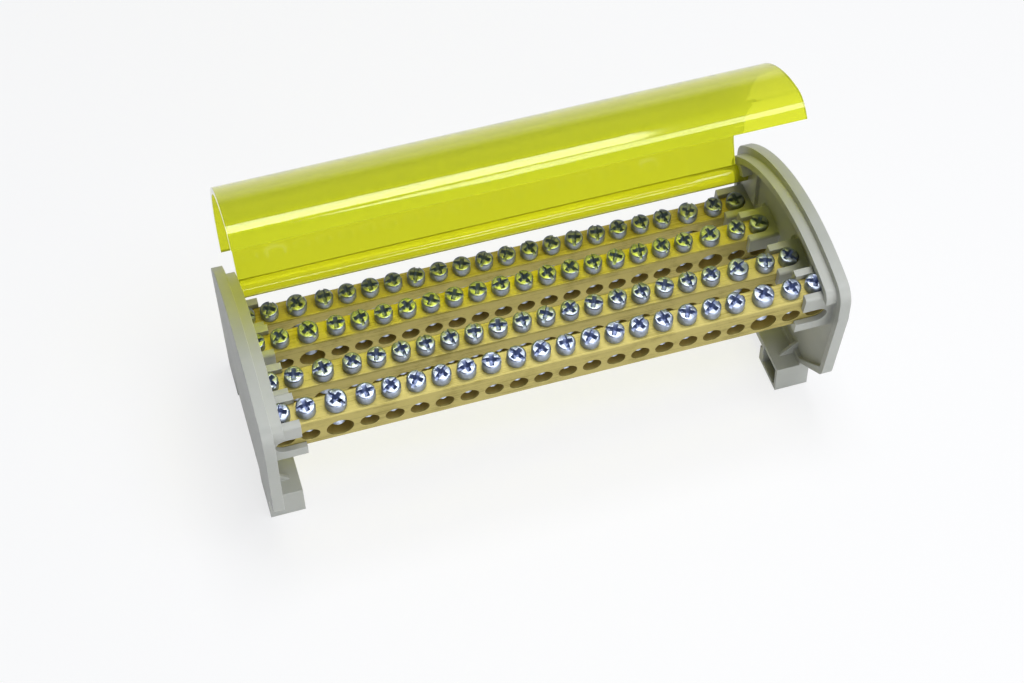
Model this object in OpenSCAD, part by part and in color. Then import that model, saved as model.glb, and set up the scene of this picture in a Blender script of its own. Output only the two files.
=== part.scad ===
// Power distribution block: four stepped brass bars between two moulded end plates,
// with a clamp screw over every wire hole, a hinged see-through cover and feet for a 35 mm rail.
// X runs along the bars, Y towards the hinge, Z up. The origin is the middle of the rail's seat.

/* [Terminals] */
// Number of small terminals between the two large ones
branch_count = 16; // [6:2:24]
// Number of small terminals outside each large one
outer_count = 2; // [1:1:3]
// Spacing of the small terminals
pitch = 6.9; // [6.4:0.1:8]
// Spacing between a large terminal and its small neighbours
feed_pitch = 8.1; // [7.6:0.1:9.5]
// Diameter of a small wire hole
branch_hole_d = 5.3; // [4.4:0.1:5.6]
// Diameter of a large wire hole
feed_hole_d = 7.5; // [6.4:0.1:7.8]

/* [Bars] */
// Depth of a bar, from its front face to its back
bar_d = 7; // [6.6:0.1:8]
// Height of a bar
bar_h = 12; // [11:0.1:13]
// Height of the wire holes' centre line above the underside
hole_rise = 5; // [4.6:0.1:5.6]
// Bevel along the bar's long edges
bar_bevel = 0.35; // [0.1:0.05:0.6]
// Forward lean of all four bars
bar_lean = 9; // [4:0.5:12]

/* [Steps] */
// Distance of the first bar in front of the rail's centre line
first_row = 37.5; // [37:0.1:38]
// Height of the first bar's top face
first_top = 55.2; // [54.6:0.1:55.4]
// Distance from the first bar to the second, and from the third to the fourth
row_step = 17.8; // [17:0.1:18.4]
// Distance from the second bar to the third
mid_step = 21.4; // [20.6:0.1:22]
// Drop from each bar to the next
row_drop = 8.6; // [8:0.1:9]

/* [Screws] */
// Diameter of a small clamp screw's head
branch_head_d = 5.3; // [4.8:0.1:5.8]
// Diameter of a small clamp screw's thread
branch_thread_d = 4; // [3.5:0.1:4.2]
// Diameter of a large clamp screw's head
feed_head_d = 5.9; // [5.4:0.1:6.6]
// Diameter of a large clamp screw's thread
feed_thread_d = 5; // [4:0.1:5.2]
// Height of a screw head
head_h = 3.3; // [2.6:0.1:3.8]
// Rounding of a screw head's top edge
head_edge = 0.5; // [0.2:0.1:0.8]
// Width of the driver slot and of the cross arms
slot_w = 0.95; // [0.6:0.05:1.2]
// Depth of the driver slot
slot_depth = 1.1; // [0.6:0.1:1.6]
// Extra depth of the cross at the middle of the slot
cross_depth = 0.6; // [0.2:0.1:1]
// Length of the cross arms
cross_len = 4; // [3:0.1:4.4]
// How far a small screw's tip reaches into its wire hole
branch_tip = 1.4; // [0:0.1:1.6]
// How far a large screw's tip reaches into its wire hole
feed_tip = 1.6; // [0:0.1:1.7]
// Radial clearance of a thread in its tapped hole
thread_play = 0.05; // [0.02:0.01:0.1]

/* [End plates] */
// Distance from the last terminal to the rim's inner face
end_margin = 3.55; // [3.3:0.05:5]
// Width of the rim, measured along the bars
rim_w = 3.1; // [2.6:0.1:4]
// Thickness of the web inside the rim
web_t = 1.9; // [1.4:0.1:2.2]
// Thickness of the rim, measured across its edge
rim_t = 1.8; // [1.4:0.1:2.4]
// Radius of the arched top
arch_r = 70; // [69:0.5:71]
// Distance of the arch's centre in front of the rail's centre line
arch_front = 21.5; // [21:0.1:22]
// Distance of the upper front edge from the rail's centre line
front_reach = 47.6; // [47:0.1:48.2]
// Distance of the back edge from the rail's centre line
back_reach = 28.6; // [28.2:0.1:29.2]
// Corner radius between the arch and the front edge
front_corner = 6; // [5:0.1:7]
// Corner radius between the arch and the back edge, centred on the hinge
back_corner = 7.6; // [7.3:0.1:8]
// Height of the hinge's centre above the soles
hinge_rise = 41.5; // [41:0.1:42]
// Distance of the lower front corner from the rail's centre line
chin_reach = 43.2; // [41.5:0.1:44]
// Height of the lower front corner
chin_rise = 21.3; // [19:0.1:23]
// Corner radius of the lower front corner
chin_corner = 5; // [3:0.1:7]
// Drop of the cover's shelf below the rim
shelf_drop = 2.5; // [2.4:0.05:2.7]
// Thickness of the cover's shelf
shelf_t = 2.2; // [1.8:0.1:2.3]
// Width of the cover's shelf, measured along the bars
shelf_w = 3; // [2.6:0.1:3.4]
// Height of the shelf's square front end
shelf_end = 55.4; // [54.5:0.1:56.5]

/* [Bar holders] */
// Wall of a holder round its bar
holder_wall = 1.6; // [1.2:0.1:2]
// Clearance of a bar in its holder
bar_fit = 0.1; // [0.05:0.01:0.2]
// Reach of the upper fingers past the last terminal
finger_reach = 4.4; // [3.6:0.1:5.2]
// Extra reach of the lower jaw past the fingers
jaw_extra = 1.2; // [0.6:0.1:2]
// Height of the fingers above the bar
finger_h = 2.1; // [1.6:0.1:2.5]
// Rounding of a finger's front edge
finger_round = 0.9; // [0.4:0.1:1.2]
// Clearance round a screw head or a wire at the holder
holder_play = 0.4; // [0.2:0.05:0.6]
// Radius of the half-round rib on the web behind a holder
rib_r = 1.4; // [1:0.1:1.6]
// Height of the half-round rib above the bar
rib_h = 0.6; // [0:0.1:1.2]

/* [Feet] */
// Height of the feet
foot_h = 9.3; // [8.8:0.1:11]
// Reach of the feet inwards from the rim
foot_w = 7; // [5:0.1:9]
// Distance of a foot's outer face from the rail's centre line
foot_reach = 29.4; // [27:0.1:30]
// Wall of the hollow feet
foot_wall = 1.2; // [1:0.1:1.6]
// Width of the rail that the feet take
rail_w = 35; // [34.6:0.1:35.2]
// Thickness of the rail's edge
rail_t = 1; // [0.8:0.1:1.5]
// Height of the rail's seat above the soles
rail_seat = 7; // [6.4:0.1:7.4]
// Grip of each foot under the rail's edge
rail_grip = 1.2; // [0.8:0.1:1.6]
// Clearance of the rail in its groove
rail_play = 0.2; // [0.1:0.05:0.4]
// Size of the gusset between the front foot and the web
gusset = 4.5; // [3:0.1:6]
// Thickness of the gusset
gusset_t = 1; // [0.8:0.1:1.5]
// Distance of the gusset behind the foot's front face
gusset_back = 5; // [3:0.1:7]

/* [Cover] */
// Thickness of the cover
cover_t = 1.9; // [1.6:0.05:2]
// Gap between the closed cover and its shelf
cover_gap = 0.35; // [0.3:0.01:0.4]
// Clearance between the cover's ends and the plates
cover_play = 0.4; // [0.3:0.05:0.8]
// Outer radius of the cover's arch
cover_r = 39.6; // [38:0.1:42]
// Height of the closed cover's centre above the soles
cover_rise = 35.7; // [34.5:0.1:37]
// Distance of the closed cover's front lip from the rail's centre line
cover_front = 41.8; // [41.2:0.1:43]
// Corner radius between the cover's arch and its front lip
cover_corner = 7; // [5:0.1:9]
// Extra turn of the cover's narrow part above the shelf
notch_extra = 3; // [1:0.5:8]
// Radial clearance of the hinge pin
pin_play = 0.06; // [0.03:0.01:0.1]
// Sweep of the hinge hook below the hinge's centre
hook_sweep = 60; // [30:5:75]
// Direction of the hook's front end, from the back over the top
hook_front = 150; // [120:5:165]
// How far the cover stands open
cover_open = 40; // [0:1:80]

/* [Hidden] */
$fn = 64;
eps = 0.05;
// Turn in degrees by which neighbouring arcs of a plate overlap, and of the cover
join_turn = 0.3;
sheet_turn = 0.01;

plate_colour = "#c3c3b8";
brass_colour = "#c9a94e";
screw_colour = "#b4b9bf";
cover_colour = [0.78, 0.80, 0.13, 0.55];

// Places along X: a row of branch terminals, one feed terminal and the outer ones on each side
inner_x = (branch_count - 1) / 2 * pitch;
feed_x = inner_x + feed_pitch;
last_x = feed_x + feed_pitch + (outer_count - 1) * pitch;
function branch_places() = concat(
    [for (i = [0 : branch_count - 1]) i * pitch - inner_x],
    [for (s = [-1, 1], i = [0 : outer_count - 1]) s * (feed_x + feed_pitch + i * pitch)]);
function feed_places() = [-feed_x, feed_x];

// Places of the bars: the screws' axis where it leaves the top face
function row_y(i) = -first_row + i * row_step + (i > 1 ? mid_step - row_step : 0);
function row_z(i) = first_top - i * row_drop;

// Layers of a plate along X
rim_in = last_x + end_margin;
plate_out = rim_in + rim_w;
web_in = plate_out - web_t;
shelf_in = rim_in - shelf_w;
foot_in = rim_in - foot_w;
bar_half = web_in - 2 * bar_fit;
finger_in = last_x - finger_reach;
jaw_in = finger_in - jaw_extra;

// Centres that the arched top, the hinge and the cover share
hinge = [back_reach - back_corner, hinge_rise];
arch = [-arch_front, hinge[1] - sqrt(pow(arch_r - back_corner, 2) - pow(hinge[0] + arch_front, 2))];
nose_y = -front_reach + front_corner;
nose = [nose_y, arch[1] + sqrt(pow(arch_r - front_corner, 2) - pow(nose_y - arch[0], 2))];
hook_out = back_corner - shelf_drop;
hook_in = hook_out - shelf_t;
pin_r = hook_in - pin_play;

// Centres of the closed cover: its arch passes through the hinge, its lip stops above the shelf
nose_dir = atan2(nose[1] - arch[1], nose[0] - arch[0]);
hinge_dir = atan2(hinge[1] - arch[1], hinge[0] - arch[0]);
seat_r = arch_r - shelf_drop + cover_gap;
dome = [hinge[0] - sqrt(pow(cover_r - cover_t / 2, 2) - pow(hinge[1] - cover_rise, 2)), cover_rise];
bend_y = -cover_front + cover_corner;
bend = [bend_y, dome[1] + sqrt(pow(cover_r - cover_corner, 2) - pow(bend_y - dome[0], 2))];
bend_dir = atan2(bend[1] - dome[1], bend[0] - dome[0]);
lip_in = -cover_front + cover_t;
lip_end = arch[1] + sqrt(pow(seat_r, 2) - pow(lip_in - arch[0], 2));

// Direction where the cover's inside rises past the shelf: it is narrower from there to the hinge
cover_in = cover_r - cover_t;
drop = norm(dome - arch);
notch_dir = atan2(arch[1] - dome[1], arch[0] - dome[0])
            + acos((pow(cover_in, 2) + pow(drop, 2) - pow(seat_r, 2)) / (2 * cover_in * drop)) + notch_extra;
pin_dir = atan2(hinge[1] - dome[1], hinge[0] - dome[0]);
cover_half = rim_in - cover_play;
tail_half = shelf_in - cover_play;

// The rail slot
slot_half = rail_w / 2 + rail_play;
grip_half = slot_half - rail_grip;
groove_z = rail_seat - rail_t - rail_play;
far = 2 * arch_r;

function unit(v) = v / norm(v);
function ray(c, a, r) = c + r * [cos(a), sin(a)];

// Turns a drawing of the Y-Z plane into a solid that runs along X
module along_x(from, to) {
    translate([from, 0, 0])
        rotate([90, 0, 90])
            linear_extrude(height = to - from)
                children();
}

// Region between two directions as seen from a centre, under half a turn wide
module wedge(c, a1, a2) {
    polygon([c, ray(c, a1, far), ray(c, (a1 + a2) / 2, far), ray(c, a2, far)]);
}

// Ring round a centre
module ring(c, outer, inner) {
    translate(c)
        difference() {
            circle(r = outer, $fn = 128);
            circle(r = inner, $fn = 128);
        }
}

// Slice of a disc between two directions
module pie(c, r, a1, a2) {
    intersection() {
        translate(c)
            circle(r = r);
        wedge(c, a1, a2);
    }
}

// Slot with one round end at the origin, which runs on towards -X
module round_slot(r, run) {
    pie([0, 0], r, -90, 90);
    translate([-run, -r])
        square([run, 2 * r]);
}

// Places that the lower outline needs
chin = [-chin_reach, chin_rise];
knee = [-foot_reach, foot_h + gusset_t];
brow = [-front_reach, nose[1] - front_corner];
function turn_half(a, p, b) = acos(unit(a - p) * unit(b - p)) / 2;
chin_half = turn_half(brow, chin, knee);
chin_cut = chin_corner / tan(chin_half);
chin_mid = chin + unit(unit(brow - chin) + unit(knee - chin)) * chin_corner / sin(chin_half);
chin_top = chin + chin_cut * unit(brow - chin);
chin_low = chin + chin_cut * unit(knee - chin);
function heading(a, b) = (atan2(b[1] - a[1], b[0] - a[0]) + 360) % 360;

// Outline of a plate: arched top with two corners, rounded chin, feet and rail slot
module plate_outline() {
    pie(nose, front_corner, nose_dir - join_turn, 180 + join_turn);
    pie(hinge, back_corner, -join_turn, hinge_dir + join_turn);
    pie(chin_mid, chin_corner, heading(chin_mid, chin_top) - join_turn,
        heading(chin_mid, chin_low) + join_turn);
    intersection() {
        translate(arch)
            circle(r = arch_r, $fn = 256);
        polygon([nose, ray(arch, nose_dir, far), ray(arch, hinge_dir, far), hinge]);
    }
    polygon([nose, [-front_reach, nose[1]], brow, chin_top, chin_mid, chin_low, knee,
             [-foot_reach, 0], [-grip_half, 0], [-grip_half, groove_z], [-slot_half, groove_z],
             [-slot_half, rail_seat], [slot_half, rail_seat], [slot_half, groove_z],
             [grip_half, groove_z], [grip_half, 0], [back_reach, 0], [back_reach, hinge[1]], hinge]);
}

// Recess that leaves the rim standing round the web
module recess() {
    low = foot_h + rim_t;
    intersection() {
        translate(arch)
            circle(r = arch_r - shelf_drop - shelf_t, $fn = 256);
        polygon([[brow[0] + rim_t, far], brow + [rim_t, 0], chin + [rim_t, rim_t],
                 knee + [0, rim_t], [-foot_reach + rim_t, low],
                 [back_reach - rim_t, low], [back_reach - rim_t, hinge[1] - back_corner],
                 [hinge[0] - back_corner, hinge[1] - back_corner], [hinge[0] - back_corner, far]]);
    }
}

// Shelf under the cover's edge, which curls into the hinge hook at the back
module shelf() {
    difference() {
        union() {
            intersection() {
                ring(arch, arch_r - shelf_drop, arch_r - shelf_drop - shelf_t);
                wedge(arch, hinge_dir, nose_dir);
            }
            intersection() {
                ring(nose, front_corner - shelf_drop, front_corner - shelf_drop - shelf_t);
                wedge(nose, nose_dir - join_turn, 180 + join_turn);
            }
            translate([-front_reach + shelf_drop, shelf_end])
                square([shelf_t, nose[1] - shelf_end]);
            pie(hinge, hook_out, -hook_sweep, hinge_dir + join_turn);
            pie(hinge, hook_out, hinge_dir, hook_front);
        }
        translate(hinge)
            circle(r = hook_in);
    }
}

// Frame of one bar: its origin is the middle of the bar's top face
module on_row(i) {
    translate([0, row_y(i), row_z(i)])
        rotate([bar_lean, 0, 0])
            children();
}

// Holder round one bar's end, with room for the last screw head and the last wire
module holder(i) {
    half = bar_d / 2 + bar_fit + holder_wall;
    under = bar_h + bar_fit + holder_wall;
    wire_z = hole_rise - bar_h;
    wire_r = branch_hole_d / 2 + holder_play;
    head_r = branch_head_d / 2 + holder_play;
    edge = [-half + finger_round, finger_h - finger_round];
    run = last_x - jaw_in + 1;
    on_row(i)
        difference() {
            union() {
                along_x(jaw_in, web_in + eps)
                    polygon([[-half, wire_z], [-half, -under], [half, -under], [half, wire_z]]);
                along_x(finger_in, web_in + eps) {
                    polygon([[-half, wire_z], [-half, finger_h - finger_round], edge,
                             [-half + finger_round, finger_h], [half, finger_h], [half, wire_z]]);
                    pie(edge, finger_round, 90, 180);
                }
            }
            along_x(jaw_in - 1, web_in)
                translate([-bar_d / 2 - bar_fit, -bar_h - bar_fit])
                    square([bar_d + 2 * bar_fit, bar_h + 2 * bar_fit]);
            translate([last_x, 0, -eps])
                linear_extrude(height = finger_h + 1)
                    round_slot(head_r, run);
            translate([last_x, 0, wire_z])
                rotate([90, 0, 0])
                    linear_extrude(height = 2 * half)
                        round_slot(wire_r, run);
        }
}

// Half-round rib that stiffens the web behind one holder
module web_rib(i) {
    half = bar_d / 2 + bar_fit + holder_wall;
    on_row(i)
        translate([web_in, half + rib_r / 2, -bar_h])
            cylinder(r = rib_r, h = bar_h + rib_h);
}

// Hollow foot with its rail groove, open at the inner end
module foot(side, reach) {
    along_x(foot_in, rim_in + eps)
        difference() {
            polygon([[side * reach, 0], [side * grip_half, 0], [side * grip_half, groove_z],
                     [side * slot_half, groove_z], [side * slot_half, rail_seat],
                     [0, rail_seat], [0, foot_h], [side * reach, foot_h]]);
            polygon([[side * (reach - foot_wall), foot_wall],
                     [side * (slot_half + foot_wall), foot_wall],
                     [side * (slot_half + foot_wall), foot_h - foot_wall],
                     [side * (reach - foot_wall), foot_h - foot_wall]]);
        }
}

// Gusset between the front foot's top and the web
module foot_gusset() {
    translate([web_in + eps, -foot_reach + gusset_back, foot_h - eps])
        rotate([90, 0, 180])
            linear_extrude(height = gusset_t)
                polygon([[0, 0], [gusset + web_in - rim_in, 0], [0, gusset]]);
}

// One moulded end plate, as the right-hand one
module end_plate() {
    difference() {
        along_x(rim_in, plate_out)
            plate_outline();
        along_x(rim_in - 1, web_in)
            recess();
    }
    along_x(shelf_in, rim_in + eps)
        shelf();
    for (i = [0 : 3])
        holder(i);
    for (i = [0 : 2])
        web_rib(i);
    foot(-1, foot_reach);
    foot(1, back_reach);
    foot_gusset();
}

module end_plate_right() {
    color(plate_colour)
        end_plate();
}

module end_plate_left() {
    color(plate_colour)
        mirror([1, 0, 0])
            end_plate();
}

// Brass bar with a wire hole through its face and a tapped hole from the top at every terminal
module bus_bar(i) {
    wire_z = hole_rise - bar_h;
    y = bar_d / 2;
    b = bar_bevel;
    on_row(i)
        color(brass_colour)
            difference() {
                along_x(-bar_half, bar_half)
                    polygon([[-y + b, 0], [-y, -b], [-y, -bar_h + b], [-y + b, -bar_h],
                             [y - b, -bar_h], [y, -bar_h + b], [y, -b], [y - b, 0]]);
                for (x = branch_places())
                    terminal(x, wire_z, branch_hole_d, branch_thread_d);
                for (x = feed_places())
                    terminal(x, wire_z, feed_hole_d, feed_thread_d);
            }
}

// The two holes of one terminal
module terminal(x, wire_z, hole_d, thread_d) {
    translate([x, bar_d, wire_z])
        rotate([90, 0, 0])
            cylinder(d = hole_d, h = 2 * bar_d);
    translate([x, 0, wire_z])
        cylinder(d = thread_d + 2 * thread_play, h = bar_h);
}

// Clamp screw: cylinder head with a slot and a cross, thread and bevelled tip
module clamp_screw(head_d, thread_d, tip_z) {
    r = head_d / 2;
    t = thread_d / 2;
    e = head_edge;
    difference() {
        rotate_extrude()
            polygon(concat([[0, tip_z], [t - e, tip_z], [t, tip_z + e], [t, 0], [r, 0]],
                           [for (a = [0 : 22.5 : 90]) [r - e + e * cos(a), head_h - e + e * sin(a)]],
                           [[0, head_h]]));
        translate([-r - 1, -slot_w / 2, head_h - slot_depth])
            cube([head_d + 2, slot_w, slot_depth + 1]);
        for (a = [0, 90])
            rotate(a)
                translate([-cross_len / 2, -slot_w / 2, head_h - slot_depth - cross_depth])
                    cube([cross_len, slot_w, slot_depth + cross_depth + 1]);
    }
}

// Turn of a screw's slot, different from place to place
function slot_turn(row, k) = (37 + row * 53 + k * 71) % 180;

module branch_screws(row) {
    on_row(row)
        color(screw_colour)
            for (k = [0 : len(branch_places()) - 1])
                translate([branch_places()[k], 0, 0])
                    rotate(slot_turn(row, k))
                        clamp_screw(branch_head_d, branch_thread_d,
                                    hole_rise + branch_hole_d / 2 - bar_h - branch_tip);
}

module feed_screws(row) {
    on_row(row)
        color(screw_colour)
            for (k = [0, 1])
                translate([feed_places()[k], 0, 0])
                    rotate(slot_turn(row, k + 5))
                        clamp_screw(feed_head_d, feed_thread_d,
                                    hole_rise + feed_hole_d / 2 - bar_h - feed_tip);
}

// The closed cover: domed sheet with a bent front lip, narrower above the hinge, and the pin
module closed_cover() {
    difference() {
        along_x(-cover_half, cover_half) {
            intersection() {
                ring(dome, cover_r, cover_in);
                wedge(dome, pin_dir, bend_dir);
            }
            intersection() {
                ring(bend, cover_corner, cover_corner - cover_t);
                wedge(bend, bend_dir - sheet_turn, 180 + sheet_turn);
            }
            translate([-cover_front, lip_end])
                square([cover_t, bend[1] - lip_end]);
        }
        for (side = [-1, 1])
            translate([side * (tail_half + far / 2), 0, 0])
                along_x(-far / 2, far / 2)
                    wedge(dome, pin_dir - notch_dir, notch_dir);
    }
    translate([-cover_half, hinge[0], hinge[1]])
        rotate([0, 90, 0])
            cylinder(r = pin_r, h = 2 * cover_half);
}

module cover() {
    color(cover_colour)
        translate([0, hinge[0], hinge[1]])
            rotate([-cover_open, 0, 0])
                translate([0, -hinge[0], -hinge[1]])
                    closed_cover();
}

// Heights are measured from the soles; the whole block is set down on the rail's seat
module on_rail() {
    translate([0, 0, -rail_seat])
        children();
}

on_rail() end_plate_left();
on_rail() end_plate_right();
on_rail() bus_bar(0);  // bus_bar_1
on_rail() bus_bar(1);  // bus_bar_2
on_rail() bus_bar(2);  // bus_bar_3
on_rail() bus_bar(3);  // bus_bar_4
on_rail() branch_screws(0);  // branch_screws_1
on_rail() branch_screws(1);  // branch_screws_2
on_rail() branch_screws(2);  // branch_screws_3
on_rail() branch_screws(3);  // branch_screws_4
on_rail() feed_screws(0);  // feed_screws_1
on_rail() feed_screws(1);  // feed_screws_2
on_rail() feed_screws(2);  // feed_screws_3
on_rail() feed_screws(3);  // feed_screws_4
on_rail() cover();
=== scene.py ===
"""Power distribution block: four stepped brass bars with clamp screws between two moulded
grey end plates, under a raised see-through cover. Looks, light and camera round the CAD frame."""

import math

import bmesh
import bpy
from mathutils import Matrix, Vector


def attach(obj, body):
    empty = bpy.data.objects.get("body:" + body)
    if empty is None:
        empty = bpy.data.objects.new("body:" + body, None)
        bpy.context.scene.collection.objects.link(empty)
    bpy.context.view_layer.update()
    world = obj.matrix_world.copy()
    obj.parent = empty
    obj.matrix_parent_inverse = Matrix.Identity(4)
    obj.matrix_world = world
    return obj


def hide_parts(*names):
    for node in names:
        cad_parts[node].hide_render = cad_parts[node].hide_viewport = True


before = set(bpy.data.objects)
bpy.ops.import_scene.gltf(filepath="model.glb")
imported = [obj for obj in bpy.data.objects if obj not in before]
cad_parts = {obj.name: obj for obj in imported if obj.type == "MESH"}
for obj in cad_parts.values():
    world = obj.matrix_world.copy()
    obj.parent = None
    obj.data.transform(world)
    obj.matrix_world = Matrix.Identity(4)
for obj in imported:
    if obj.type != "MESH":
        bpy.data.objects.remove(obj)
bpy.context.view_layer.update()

MM = 0.001

# Bars and terminal rows, as in the part's source: depth (Y) and height (Z) of each bar's top
ROWS = [(-37.5 * MM, 55.2 * MM), (-19.7 * MM, 46.6 * MM),
        (1.7 * MM, 38.0 * MM), (19.5 * MM, 29.4 * MM)]
RAIL_SEAT = 7 * MM
BAR_LEAN = math.radians(9)
BAR_DEPTH = 7 * MM
BAR_HEIGHT = 12 * MM
BRANCH_COUNT = 16
OUTER_COUNT = 2
SPACING = 6.9 * MM
FEED_SPACING = 8.1 * MM

# Clamp screws: heights count from the underside of the head
BRANCH_SCREW = {"head": 5.3 * MM, "thread": 4.0 * MM, "tip": -8.9 * MM}
FEED_SCREW = {"head": 5.9 * MM, "thread": 5.0 * MM, "tip": -8.0 * MM}
SCREW_SIDES = 40
HEAD_HEIGHT = 3.3 * MM
HEAD_EDGE = 0.5 * MM
HEAD_EDGE_STEPS = 4
HEAD_DOME = 0.12 * MM
HEAD_UNDERCUT = 0.05 * MM
SOFT_EDGE = 0.09 * MM
SOFT_EDGE_ANGLE = math.radians(40)
SMOOTH_ANGLE = math.radians(35)
SLOT_WIDTH = 1.0 * MM
SLOT_DEPTH = 1.1 * MM
SLOT_OVERRUN = 1.2
CROSS_LENGTH = 3.7 * MM
CROSS_DEPTH = 2.3 * MM
CROSS_MOUTH = {"length": 1.15, "width": 1.35, "height": HEAD_HEIGHT + 0.4 * MM}
CROSS_FLOOR = {"length": 0.45, "width": 0.7, "height": HEAD_HEIGHT - CROSS_DEPTH}
THREAD_COUNT = 6
THREAD_PITCH = 0.7 * MM
THREAD_DEPTH = 0.3 * MM
THREAD_ROOT = 0.45 * THREAD_PITCH
THREAD_CREST = 0.9 * THREAD_PITCH
TIP_HEIGHT = 0.9 * MM
TIP_STEPS = 5
ROW_SEED = 10
FEED_SEED = 40

# The photograph's view, fitted to its rows of screws and holes (metres, millimetres of lens)
CAMERA_PLACE = Vector((-0.10336, -0.36886, 0.48109))
CAMERA_AIM = Vector((0.0008, 0.00629, 0.0))
CAMERA_ROLL = math.radians(-1.5)
CAMERA_LENS = 72.76
CAMERA_SENSOR = 36.0
CAMERA_NEAR = 0.01
CAMERA_FAR = 20.0

# Soft lamps: place and size in metres, watts, colour
LAMP_AIM = Vector((0.0, 0.0, 0.03))
LAMPS = {"overhead_lamp": ((0.08, 0.0, 0.88), (0.5, 0.32), 4.3, "#ffffff"),
         "front_window": ((0.3, -0.45, 0.86), (0.5, 0.3), 2.9, "#f4f7ff"),
         "front_fill": ((0.1, -0.97, 0.3), (0.7, 0.4), 3.9, "#ffffff")}
TABLE_REACH = 12.0
TABLE_WHITENESS = 0.75


def linear(colour):
    """An sRGB hex colour as linear red, green, blue and alpha."""
    parts = [int(colour[i:i + 2], 16) / 255 for i in (1, 3, 5)]
    return tuple(p / 12.92 if p <= 0.04045 else ((p + 0.055) / 1.055) ** 2.4
                 for p in parts) + (1.0,)


def add(tree, kind, inputs=None, **settings):
    """Adds one node: settings go on the node, and inputs are linked where they are sockets."""
    made = tree.nodes.new(kind)
    for name, value in settings.items():
        setattr(made, name, value)
    for name, value in (inputs or {}).items():
        socket = made.inputs[name]
        if isinstance(value, bpy.types.NodeSocket):
            tree.links.new(value, socket)
        else:
            socket.default_value = value
    return made


def blank_material(name):
    """A material with an empty node tree."""
    made = bpy.data.materials.new(name)
    made.use_nodes = True
    made.node_tree.nodes.clear()
    return made, made.node_tree


def rounded_edges_and_highlight(tree, radius):
    """Normals that run round sharp edges at a small radius, and how much of a spot is such an
    edge: none where it is flat, all where the rounded normal lies 37 degrees off the flat one.
    The materials paint such edges paler, partly as wear and partly as a painted highlight."""
    rounded = add(tree, "ShaderNodeBevel", {"Radius": radius}, samples=6).outputs["Normal"]
    flat = add(tree, "ShaderNodeNewGeometry").outputs["Normal"]
    agree = add(tree, "ShaderNodeVectorMath", {0: rounded, 1: flat}, operation="DOT_PRODUCT")
    worn_and_highlit = add(tree, "ShaderNodeMapRange", {
        "Value": agree.outputs["Value"], "From Min": 0.99, "From Max": 0.8})
    return rounded, worn_and_highlit.outputs["Result"]


def moulded_grey_plastic():
    """Glass-filled polyamide, injection moulded in a lightly spark-eroded tool: soft satin sheen,
    a fine grain, faint flow clouds in the grey, and slightly rounded edges painted paler, partly
    as wear from handling and partly as a painted highlight."""
    made, tree = blank_material("moulded_grey_plastic")
    place = add(tree, "ShaderNodeTexCoord").outputs["Object"]
    clouds = add(tree, "ShaderNodeTexNoise", {
        "Vector": place, "Scale": 1 / (22 * MM), "Detail": 4.0, "Roughness": 0.6})
    cloudy = add(tree, "ShaderNodeMapRange", {
        "Value": clouds.outputs["Fac"], "From Min": 0.35, "From Max": 0.65})
    grey = add(tree, "ShaderNodeMix", {
        "Factor": cloudy.outputs["Result"], "A": linear("#a6a8a0"), "B": linear("#afb0a9")},
        data_type="RGBA")
    # The real grain is about 0.2 mm; it is drawn at 0.5 mm so that it shows
    grain = add(tree, "ShaderNodeTexNoise", {
        "Vector": place, "Scale": 1 / (0.5 * MM), "Detail": 2.0})
    gloss = add(tree, "ShaderNodeMapRange", {
        "Value": grain.outputs["Fac"], "To Min": 0.38, "To Max": 0.54})
    rounded, worn_and_highlit = rounded_edges_and_highlight(tree, 0.35 * MM)
    # Edges painted paler: partly wear, partly a painted highlight
    colour = add(tree, "ShaderNodeMix", {
        "Factor": worn_and_highlit, "A": grey.outputs["Result"], "B": linear("#c2c3be")}, data_type="RGBA")
    relief = add(tree, "ShaderNodeBump", {
        "Height": grain.outputs["Fac"], "Strength": 0.12, "Distance": 0.05 * MM,
        "Normal": rounded})
    skin = add(tree, "ShaderNodeBsdfPrincipled", {
        "Base Color": colour.outputs["Result"], "Roughness": gloss.outputs["Result"],
        "Normal": relief.outputs["Normal"], "IOR": 1.5, "Subsurface Weight": 0.05,
        "Subsurface Radius": (1.2 * MM, 1.1 * MM, 0.9 * MM), "Subsurface Scale": 1.0})
    add(tree, "ShaderNodeOutputMaterial", {"Surface": skin.outputs["BSDF"]})
    return made


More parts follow.
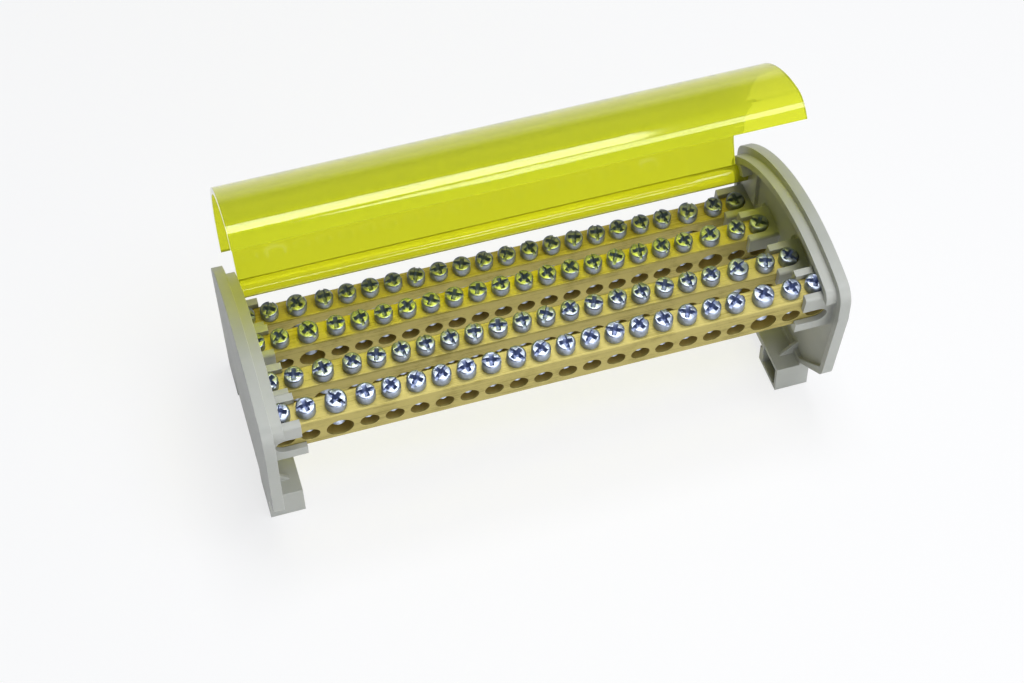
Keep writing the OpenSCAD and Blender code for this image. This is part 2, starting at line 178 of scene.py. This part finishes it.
def drawn_brass(row, y, z):
    """Free-cutting brass, cold drawn through a die: fine lines along the bar, a soft streaky
    shine, slightly browner patches where it has been handled, a thin tarnish that scatters some
    of the light, edges painted brighter, partly as wear and partly as a painted highlight, and
    holes painted darker and duller as shade."""
    made, tree = blank_material("drawn_brass_row_%d" % row)
    place = add(tree, "ShaderNodeTexCoord").outputs["Object"]
    # Die lines are about 0.1 mm apart; they are drawn at 0.3 mm so that they show
    along = add(tree, "ShaderNodeMapping", {
        "Vector": place, "Scale": (1 / (40 * MM), 1 / (0.3 * MM), 1 / (0.3 * MM))})
    lines = add(tree, "ShaderNodeTexNoise", {
        "Vector": along.outputs["Vector"], "Scale": 1.0, "Detail": 3.0, "Roughness": 0.55})
    patches = add(tree, "ShaderNodeTexNoise", {
        "Vector": place, "Scale": 1 / (9 * MM), "Detail": 5.0, "Roughness": 0.65})
    tone = add(tree, "ShaderNodeMath", {
        0: lines.outputs["Fac"], 1: patches.outputs["Fac"]}, operation="ADD")
    clean = add(tree, "ShaderNodeMapRange", {
        "Value": tone.outputs["Value"], "From Min": 0.8, "From Max": 1.0})
    brass = add(tree, "ShaderNodeMix", {
        "Factor": clean.outputs["Result"], "A": linear("#9c8f4a"), "B": linear("#bdb069")},
        data_type="RGBA")

    # The drilled holes are what lies inside the bar's four long faces; they are painted darker, as
    # painted shade
    top = Matrix.Rotation(-BAR_LEAN, 3, "X") @ Vector((0.0, y, z - RAIL_SEAT))
    heart = top - Vector((0.0, 0.0, BAR_HEIGHT / 2))
    upright = add(tree, "ShaderNodeMapping", {
        "Vector": place, "Location": -heart, "Rotation": (-BAR_LEAN, 0.0, 0.0)})
    across = add(tree, "ShaderNodeVectorMath", {
        0: upright.outputs["Vector"]}, operation="ABSOLUTE")
    inside = add(tree, "ShaderNodeSeparateXYZ", {"Vector": across.outputs["Vector"]}).outputs
    from_front = add(tree, "ShaderNodeMapRange", {
        "Value": inside["Y"],
        "From Min": BAR_DEPTH / 2 - 0.1 * MM, "From Max": BAR_DEPTH / 2 - 1.0 * MM})
    from_top = add(tree, "ShaderNodeMapRange", {
        "Value": inside["Z"],
        "From Min": BAR_HEIGHT / 2 - 0.4 * MM, "From Max": BAR_HEIGHT / 2 - 0.8 * MM})
    hole_shade = add(tree, "ShaderNodeMath", {
        0: from_front.outputs["Result"], 1: from_top.outputs["Result"]}, operation="MULTIPLY")

    rounded, worn_and_highlit = rounded_edges_and_highlight(tree, 0.2 * MM)
    # Edges painted brighter: partly wear, partly a painted highlight
    bright = add(tree, "ShaderNodeMix", {
        "Factor": worn_and_highlit, "A": brass.outputs["Result"], "B": linear("#d2c684")}, data_type="RGBA")
    colour = add(tree, "ShaderNodeMix", {
        "Factor": hole_shade.outputs["Value"], "A": bright.outputs["Result"], "B": linear("#a08a44")},
        data_type="RGBA")
    # Painted shade: the holes are also less metallic
    film = add(tree, "ShaderNodeMapRange", {
        "Value": hole_shade.outputs["Value"], "To Min": 0.75, "To Max": 0.4})
    gloss = add(tree, "ShaderNodeMapRange", {
        "Value": lines.outputs["Fac"], "From Min": 0.3, "From Max": 0.7,
        "To Min": 0.48, "To Max": 0.64})
    relief = add(tree, "ShaderNodeBump", {
        "Height": lines.outputs["Fac"], "Strength": 0.25, "Distance": 0.03 * MM,
        "Normal": rounded})
    metal = add(tree, "ShaderNodeBsdfPrincipled", {
        "Base Color": colour.outputs["Result"], "Metallic": film.outputs["Result"],
        "Roughness": gloss.outputs["Result"], "Normal": relief.outputs["Normal"]})
    add(tree, "ShaderNodeOutputMaterial", {"Surface": metal.outputs["BSDF"]})
    return made


def zinc_plated_steel():
    """Turned steel with a bright blue-passivated zinc plating: cool silver, fine turning rings on
    the heads, a slightly cloudy shine, and a darker, bluer recess that is painted shade."""
    made, tree = blank_material("zinc_plated_steel")
    place = add(tree, "ShaderNodeTexCoord").outputs["Object"]
    # Each screw carries the place of a spot in its own frame, with Z along its axis
    spot = add(tree, "ShaderNodeAttribute", attribute_name="screw_place").outputs["Vector"]
    height = add(tree, "ShaderNodeSeparateXYZ", {"Vector": spot}).outputs["Z"]
    flat = add(tree, "ShaderNodeVectorMath", {0: spot, 1: (1.0, 1.0, 0.0)}, operation="MULTIPLY")
    reach = add(tree, "ShaderNodeVectorMath", {0: flat.outputs["Vector"]}, operation="LENGTH")
    # Turning rings are about 0.1 mm apart; they are drawn at 0.22 mm so that they show
    turns = add(tree, "ShaderNodeMath", {
        0: reach.outputs["Value"], 1: 2 * math.pi / (0.22 * MM)}, operation="MULTIPLY")
    rings = add(tree, "ShaderNodeMath", {0: turns.outputs["Value"]}, operation="SINE")
    clouds = add(tree, "ShaderNodeTexNoise", {
        "Vector": place, "Scale": 1 / (1.6 * MM), "Detail": 4.0, "Roughness": 0.6})
    cloudy = add(tree, "ShaderNodeMapRange", {
        "Value": clouds.outputs["Fac"], "From Min": 0.3, "From Max": 0.7})
    zinc = add(tree, "ShaderNodeMix", {
        "Factor": cloudy.outputs["Result"], "A": linear("#8f98a9"), "B": linear("#b9c2d2")},
        data_type="RGBA")

    # The sides of the head are duller than its top and than the shank
    shine = add(tree, "ShaderNodeMapRange", {
        "Value": clouds.outputs["Fac"], "From Min": 0.3, "From Max": 0.7,
        "To Min": 0.28, "To Max": 0.44})
    side = add(tree, "ShaderNodeMapRange", {
        "Value": height, "From Min": HEAD_HEIGHT - 0.9 * MM, "From Max": HEAD_HEIGHT - 0.5 * MM,
        "To Min": 0.2, "To Max": 0.0})
    dull = add(tree, "ShaderNodeMath", {
        0: shine.outputs["Result"], 1: side.outputs["Result"]}, operation="ADD")
    head = add(tree, "ShaderNodeMapRange", {
        "Value": height, "From Min": -0.4 * MM, "From Max": 0.0, "To Min": 0.7, "To Max": 1.0})
    gloss = add(tree, "ShaderNodeMath", {
        0: dull.outputs["Value"], 1: head.outputs["Result"]}, operation="MULTIPLY")

    # The recess lies near the axis, below the top of the head and above its underside; it is
    # painted darker and bluer, as painted shade
    within = add(tree, "ShaderNodeMapRange", {
        "Value": reach.outputs["Value"], "From Min": 2.5 * MM, "From Max": 2.1 * MM})
    below = add(tree, "ShaderNodeMapRange", {
        "Value": height, "From Min": HEAD_HEIGHT - 0.15 * MM, "From Max": HEAD_HEIGHT - 0.6 * MM})
    above = add(tree, "ShaderNodeMapRange", {
        "Value": height, "From Min": 0.2 * MM, "From Max": 0.4 * MM})
    sunk = add(tree, "ShaderNodeMath", {
        0: within.outputs["Result"], 1: below.outputs["Result"]}, operation="MULTIPLY")
    recess = add(tree, "ShaderNodeMath", {
        0: sunk.outputs["Value"], 1: above.outputs["Result"]}, operation="MULTIPLY")
    colour = add(tree, "ShaderNodeMix", {
        "Factor": recess.outputs["Value"], "A": zinc.outputs["Result"], "B": linear("#8a95b4")},
        data_type="RGBA")

    uneven = add(tree, "ShaderNodeBump", {
        "Height": clouds.outputs["Fac"], "Strength": 0.4, "Distance": 0.25 * MM})
    relief = add(tree, "ShaderNodeBump", {
        "Height": rings.outputs["Value"], "Strength": 0.10, "Distance": 0.02 * MM,
        "Normal": uneven.outputs["Normal"]})
    metal = add(tree, "ShaderNodeBsdfPrincipled", {
        "Base Color": colour.outputs["Result"], "Metallic": 1.0,
        "Roughness": gloss.outputs["Value"], "Normal": relief.outputs["Normal"]})
    add(tree, "ShaderNodeOutputMaterial", {"Surface": metal.outputs["BSDF"]})
    return made


def clear_yellow_sheet():
    """Extruded rigid vinyl dyed clear yellow-green: glassy gloss, faint die lines along its
    length, and a tint that deepens with the thickness that is looked through."""
    made, tree = blank_material("clear_yellow_sheet")
    place = add(tree, "ShaderNodeTexCoord").outputs["Object"]
    # Die lines are about 1 mm apart; they are drawn at 2.5 mm so that the reflections show them
    along = add(tree, "ShaderNodeMapping", {
        "Vector": place, "Scale": (1 / (400 * MM), 1 / (2.5 * MM), 1 / (2.5 * MM))})
    lines = add(tree, "ShaderNodeTexNoise", {
        "Vector": along.outputs["Vector"], "Scale": 1.0, "Detail": 2.0})
    relief = add(tree, "ShaderNodeBump", {
        "Height": lines.outputs["Fac"], "Strength": 0.06, "Distance": 0.05 * MM})
    sheet = add(tree, "ShaderNodeBsdfPrincipled", {
        "Base Color": linear("#e0e740"), "Roughness": 0.07, "IOR": 1.49,
        "Transmission Weight": 0.75, "Normal": relief.outputs["Normal"]})
    dye = add(tree, "ShaderNodeVolumeAbsorption", {"Color": linear("#f0e800"), "Density": 200.0})
    # Lamps shine through the sheet and throw yellow light on what is under it
    lamp_rays = add(tree, "ShaderNodeLightPath").outputs["Is Shadow Ray"]
    tint = add(tree, "ShaderNodeBsdfTransparent", {"Color": linear("#e8e848")})
    lit = add(tree, "ShaderNodeMixShader", {
        0: lamp_rays, 1: sheet.outputs["BSDF"], 2: tint.outputs["BSDF"]})
    add(tree, "ShaderNodeOutputMaterial", {
        "Surface": lit.outputs["Shader"], "Volume": dye.outputs["Volume"]})
    return made


def pale_paper():
    """Matt white paper on the table: it takes the part's shadow and looks nearly white."""
    made, tree = blank_material("pale_paper")
    seen = add(tree, "ShaderNodeLightPath").outputs
    camera_or_gloss = add(tree, "ShaderNodeMath", {
        0: seen["Is Camera Ray"], 1: seen["Is Glossy Ray"]}, operation="MAXIMUM")
    background = add(tree, "ShaderNodeMath", {
        0: camera_or_gloss.outputs["Value"], 1: seen["Is Transmission Ray"]}, operation="MAXIMUM")
    share = add(tree, "ShaderNodeMath", {
        0: background.outputs["Value"], 1: TABLE_WHITENESS}, operation="MULTIPLY")
    paper = add(tree, "ShaderNodeBsdfDiffuse", {"Color": linear("#f2f2f2")})
    white = add(tree, "ShaderNodeEmission", {"Color": linear("#ffffff"), "Strength": 1.0})
    both = add(tree, "ShaderNodeMixShader", {
        0: share.outputs["Value"], 1: paper.outputs["BSDF"], 2: white.outputs["Emission"]})
    add(tree, "ShaderNodeOutputMaterial", {"Surface": both.outputs["Shader"]})
    return made


def lathe(mesh, profile, around):
    """Body of revolution about Z from (radius, height) places; the ends lie on the axis."""
    bottom = mesh.verts.new((0, 0, profile[0][1]))
    top = mesh.verts.new((0, 0, profile[-1][1]))
    turn = [2 * math.pi * k / around for k in range(around)]
    hoops = [[mesh.verts.new((r * math.cos(a), r * math.sin(a), z)) for a in turn]
             for r, z in profile[1:-1]]
    for k in range(around):
        n = (k + 1) % around
        mesh.faces.new((bottom, hoops[0][n], hoops[0][k]))
        mesh.faces.new((top, hoops[-1][k], hoops[-1][n]))
        for low, high in zip(hoops, hoops[1:]):
            mesh.faces.new((low[k], low[n], high[n], high[k]))


def put_in_scene(name, data):
    """A new object in the scene, at the origin."""
    made = bpy.data.objects.new(name, data)
    bpy.context.scene.collection.objects.link(made)
    return made


def new_object(name, fill):
    """An object at the origin whose mesh the function fill makes."""
    mesh = bmesh.new()
    fill(mesh)
    data = bpy.data.meshes.new(name)
    mesh.to_mesh(data)
    mesh.free()
    return put_in_scene(name, data)


def as_plain_mesh(thing, name):
    """The evaluated shape of an object as a plain mesh of a new object; the old one is removed."""
    graph = bpy.context.evaluated_depsgraph_get()
    data = bpy.data.meshes.new_from_object(thing.evaluated_get(graph))
    data.name = name
    bpy.data.objects.remove(thing)
    return put_in_scene(name, data)


def driver_recess(mesh, head):
    """What the combined slot and cross takes out of a head: a slot right across and two
    tapered arms."""
    slot = Matrix.Diagonal((head * SLOT_OVERRUN, SLOT_WIDTH, 2 * SLOT_DEPTH, 1))
    bmesh.ops.create_cube(mesh, size=1, matrix=Matrix.Translation((0, 0, HEAD_HEIGHT)) @ slot)
    for turn in (0, math.pi / 2):
        for corner in bmesh.ops.create_cube(mesh, size=1)["verts"]:
            end = CROSS_FLOOR if corner.co.z < 0 else CROSS_MOUTH
            corner.co.x *= CROSS_LENGTH * end["length"]
            corner.co.y *= SLOT_WIDTH * end["width"]
            corner.co.z = end["height"]
            corner.co.rotate(Matrix.Rotation(turn, 3, "Z"))


def clamp_screw(name, head, thread, tip):
    """One clamp screw: round-edged head with its driver recess, shank, thread and a round tip."""
    r, t = head / 2, thread / 2
    profile = [(0, tip)]
    for step in range(1, TIP_STEPS + 1):
        a = math.radians(90 / TIP_STEPS * step)
        profile.append((t * math.sin(a), tip + TIP_HEIGHT * (1 - math.cos(a))))
    # Only the turns of the thread that show in the wire holes are cut, as plain rings
    for turn in range(THREAD_COUNT):
        foot = tip + TIP_HEIGHT + turn * THREAD_PITCH
        profile += [(t - THREAD_DEPTH, foot + THREAD_ROOT),
                    (t, foot + THREAD_CREST), (t, foot + THREAD_PITCH)]
    profile += [(t, 0), (r, HEAD_UNDERCUT)]
    for step in range(HEAD_EDGE_STEPS + 1):
        a = math.radians(90 / HEAD_EDGE_STEPS * step)
        profile.append((r - HEAD_EDGE + HEAD_EDGE * math.cos(a),
                        HEAD_HEIGHT - HEAD_DOME - HEAD_EDGE + HEAD_EDGE * math.sin(a)))
    profile += [(r * 0.5, HEAD_HEIGHT - HEAD_DOME * 0.4), (0, HEAD_HEIGHT)]

    body = new_object(name + "_body", lambda mesh: lathe(mesh, profile, SCREW_SIDES))
    recess = new_object(name + "_recess", lambda mesh: driver_recess(mesh, head))
    cut = body.modifiers.new("cut", "BOOLEAN")
    cut.operation, cut.solver, cut.use_self = "DIFFERENCE", "EXACT", True
    cut.object = recess
    soft = body.modifiers.new("soft", "BEVEL")
    soft.width, soft.segments = SOFT_EDGE, 2
    soft.limit_method, soft.angle_limit = "ANGLE", SOFT_EDGE_ANGLE
    made = as_plain_mesh(body, name)
    bpy.data.objects.remove(recess)
    made.data.shade_smooth()
    made.data.set_sharp_from_angle(angle=SMOOTH_ANGLE)
    return made


def screw_row_tree():
    """Sets the branch and feed screws of one bar along its top face, each turned at random."""
    tree = bpy.data.node_groups.new("screw_row", "GeometryNodeTree")
    inputs = {"Branch screw": "Object", "Feed screw": "Object", "Branch count": "Int",
              "Outer count": "Int", "Spacing": "Vector", "Feed spacing": "Vector",
              "Bar place": "Vector", "Bar lean": "Vector", "Seed": "Int", "Metal": "Material"}
    for name, kind in inputs.items():
        tree.interface.new_socket(name, in_out="INPUT", socket_type="NodeSocket" + kind)
    tree.interface.new_socket("Screws", in_out="OUTPUT", socket_type="NodeSocketGeometry")
    given = add(tree, "NodeGroupInput").outputs

    # Places from the middle of the bar: the last of the inner screws, the feed screw beyond it,
    # and the first of the outer screws
    half = add(tree, "ShaderNodeMath", {
        0: given["Branch count"], 1: 0.5, 2: -0.5}, operation="MULTIPLY_ADD").outputs["Value"]
    inner = add(tree, "ShaderNodeVectorMath", {
        0: given["Spacing"], "Scale": half}, operation="SCALE").outputs["Vector"]
    feed = add(tree, "ShaderNodeVectorMath", {
        0: inner, 1: given["Feed spacing"]}, operation="ADD").outputs["Vector"]
    outer = add(tree, "ShaderNodeVectorMath", {
        0: feed, 1: given["Feed spacing"]}, operation="ADD").outputs["Vector"]
    feed_span = add(tree, "ShaderNodeVectorMath", {
        0: feed, "Scale": 2.0}, operation="SCALE").outputs["Vector"]
    left_inner, left_feed, left_outer, leftward = [
        add(tree, "ShaderNodeVectorMath", {
            0: value, "Scale": -1.0}, operation="SCALE").outputs["Vector"]
        for value in (inner, feed, outer, given["Spacing"])]

    branch_places = add(tree, "GeometryNodeJoinGeometry")
    for count, start, step in (("Branch count", left_inner, given["Spacing"]),
                               ("Outer count", outer, given["Spacing"]),
                               ("Outer count", left_outer, leftward)):
        line = add(tree, "GeometryNodeMeshLine", {
            "Count": given[count], "Start Location": start, "Offset": step})
        tree.links.new(line.outputs["Mesh"], branch_places.inputs["Geometry"])
    feed_places = add(tree, "GeometryNodeMeshLine", {
        "Count": 2, "Start Location": left_feed, "Offset": feed_span})

    both = add(tree, "GeometryNodeJoinGeometry")
    spot = add(tree, "GeometryNodeInputPosition").outputs["Position"]
    for screw, places, shift in (("Branch screw", branch_places.outputs["Geometry"], 0),
                                 ("Feed screw", feed_places.outputs["Mesh"], FEED_SEED)):
        seed = add(tree, "ShaderNodeMath", {0: given["Seed"], 1: shift}, operation="ADD")
        turn = add(tree, "FunctionNodeRandomValue", {
            "Max": (0.0, 0.0, math.pi), "Seed": seed.outputs["Value"]}, data_type="FLOAT_VECTOR")
        spin = add(tree, "FunctionNodeEulerToRotation", {"Euler": turn.outputs["Value"]})
        shape = add(tree, "GeometryNodeObjectInfo", {"Object": given[screw]})
        known = add(tree, "GeometryNodeStoreNamedAttribute", {
            "Geometry": shape.outputs["Geometry"], "Name": "screw_place", "Value": spot},
            data_type="FLOAT_VECTOR", domain="POINT")
        set_down = add(tree, "GeometryNodeInstanceOnPoints", {
            "Points": places, "Instance": known.outputs["Geometry"],
            "Rotation": spin.outputs["Rotation"]})
        tree.links.new(set_down.outputs["Instances"], both.inputs["Geometry"])

    lean = add(tree, "FunctionNodeEulerToRotation", {"Euler": given["Bar lean"]})
    on_bar = add(tree, "GeometryNodeTransform", {
        "Geometry": both.outputs["Geometry"], "Translation": given["Bar place"],
        "Rotation": lean.outputs["Rotation"]})
    real = add(tree, "GeometryNodeRealizeInstances", {"Geometry": on_bar.outputs["Geometry"]})
    plated = add(tree, "GeometryNodeSetMaterial", {
        "Geometry": real.outputs["Geometry"], "Material": given["Metal"]})
    add(tree, "NodeGroupOutput", {"Screws": plated.outputs["Geometry"]})
    return tree


def screw_rows(metal):
    """The clamp screws of all four bars, one piece for each bar."""
    branch = clamp_screw("branch_screw", **BRANCH_SCREW)
    feed = clamp_screw("feed_screw", **FEED_SCREW)
    tree = screw_row_tree()
    keys = {item.name: item.identifier for item in tree.interface.items_tree
            if item.in_out == "INPUT"}
    for row, (y, z) in enumerate(ROWS, 1):
        holder = put_in_scene("screws", bpy.data.meshes.new("screws"))
        grow = holder.modifiers.new("screw_row", "NODES")
        grow.node_group = tree
        values = {"Branch screw": branch, "Feed screw": feed, "Branch count": BRANCH_COUNT,
                  "Outer count": OUTER_COUNT, "Spacing": (SPACING, 0.0, 0.0),
                  "Feed spacing": (FEED_SPACING, 0.0, 0.0), "Bar place": (0.0, y, z - RAIL_SEAT),
                  "Bar lean": (BAR_LEAN, 0.0, 0.0), "Seed": ROW_SEED * row, "Metal": metal}
        for name, value in values.items():
            grow[keys[name]] = value
        piece = as_plain_mesh(holder, "screws_row_%d" % row)
        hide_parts("branch_screws_%d" % row, "feed_screws_%d" % row)
        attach(piece, "base")
    for master in (branch, feed):
        bpy.data.objects.remove(master)


def finish_node(name, finish):
    """Gives a CAD node its finish."""
    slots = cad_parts[name].data.materials
    slots.clear()
    slots.append(finish)


def camera():
    """The photograph's view: from the front left, 51 degrees above the table."""
    data = bpy.data.cameras.new("camera")
    data.sensor_width, data.lens = CAMERA_SENSOR, CAMERA_LENS
    data.clip_start, data.clip_end = CAMERA_NEAR, CAMERA_FAR
    made = put_in_scene("camera", data)
    ahead = (CAMERA_AIM - CAMERA_PLACE).normalized()
    level = ahead.cross(Vector((0, 0, 1))).normalized()
    right = level * math.cos(CAMERA_ROLL) + level.cross(ahead) * math.sin(CAMERA_ROLL)
    turned = Matrix((right, right.cross(ahead), -ahead)).transposed().to_4x4()
    made.matrix_world = Matrix.Translation(CAMERA_PLACE) @ turned
    bpy.context.scene.camera = made


def softbox(name, place, size, power, colour):
    """A large soft lamp that shines on the part."""
    data = bpy.data.lights.new(name, "AREA")
    data.shape, data.size, data.size_y = "RECTANGLE", size[0], size[1]
    data.energy, data.color = power, linear(colour)[:3]
    made = put_in_scene(name, data)
    made.location = place
    made.rotation_euler = (LAMP_AIM - Vector(place)).to_track_quat("-Z", "Y").to_euler()


def table():
    """A plain pale table under the feet."""
    def top(mesh):
        under_feet = Matrix.Translation((0, 0, -RAIL_SEAT))
        bmesh.ops.create_grid(
            mesh, x_segments=1, y_segments=1, size=TABLE_REACH, matrix=under_feet)

    made = new_object("table", top)
    made.data.materials.append(pale_paper())


def sky():
    """A pale sky, white at the horizon and grey above, dimmer on the left than on the right."""
    made = bpy.data.worlds.new("sky")
    bpy.context.scene.world = made
    made.use_nodes = True
    tree = made.node_tree
    tree.nodes.clear()
    round_about = add(tree, "ShaderNodeTexCoord").outputs["Generated"]
    toward = add(tree, "ShaderNodeSeparateXYZ", {"Vector": round_about}).outputs
    up = add(tree, "ShaderNodeMapRange", {
        "Value": toward["Z"], "From Min": 0.02, "From Max": 0.2})
    colour = add(tree, "ShaderNodeMix", {
        "Factor": up.outputs["Result"], "A": linear("#ffffff"), "B": linear("#6f7684")},
        data_type="RGBA")
    side = add(tree, "ShaderNodeMapRange", {
        "Value": toward["X"], "From Min": -1.0, "From Max": 1.0, "To Min": 0.4, "To Max": 1.25})
    light = add(tree, "ShaderNodeBackground", {
        "Color": colour.outputs["Result"], "Strength": side.outputs["Result"]})
    add(tree, "ShaderNodeOutputWorld", {"Surface": light.outputs["Background"]})


camera()
table()
sky()
for name, lamp in LAMPS.items():
    softbox(name, *lamp)
bpy.context.scene.view_settings.view_transform = "Standard"

plastic = moulded_grey_plastic()
for side in ("left", "right"):
    finish_node("end_plate_" + side, plastic)
for row, (y, z) in enumerate(ROWS, 1):
    finish_node("bus_bar_%d" % row, drawn_brass(row, y, z))
finish_node("cover", clear_yellow_sheet())
screw_rows(zinc_plated_steel())
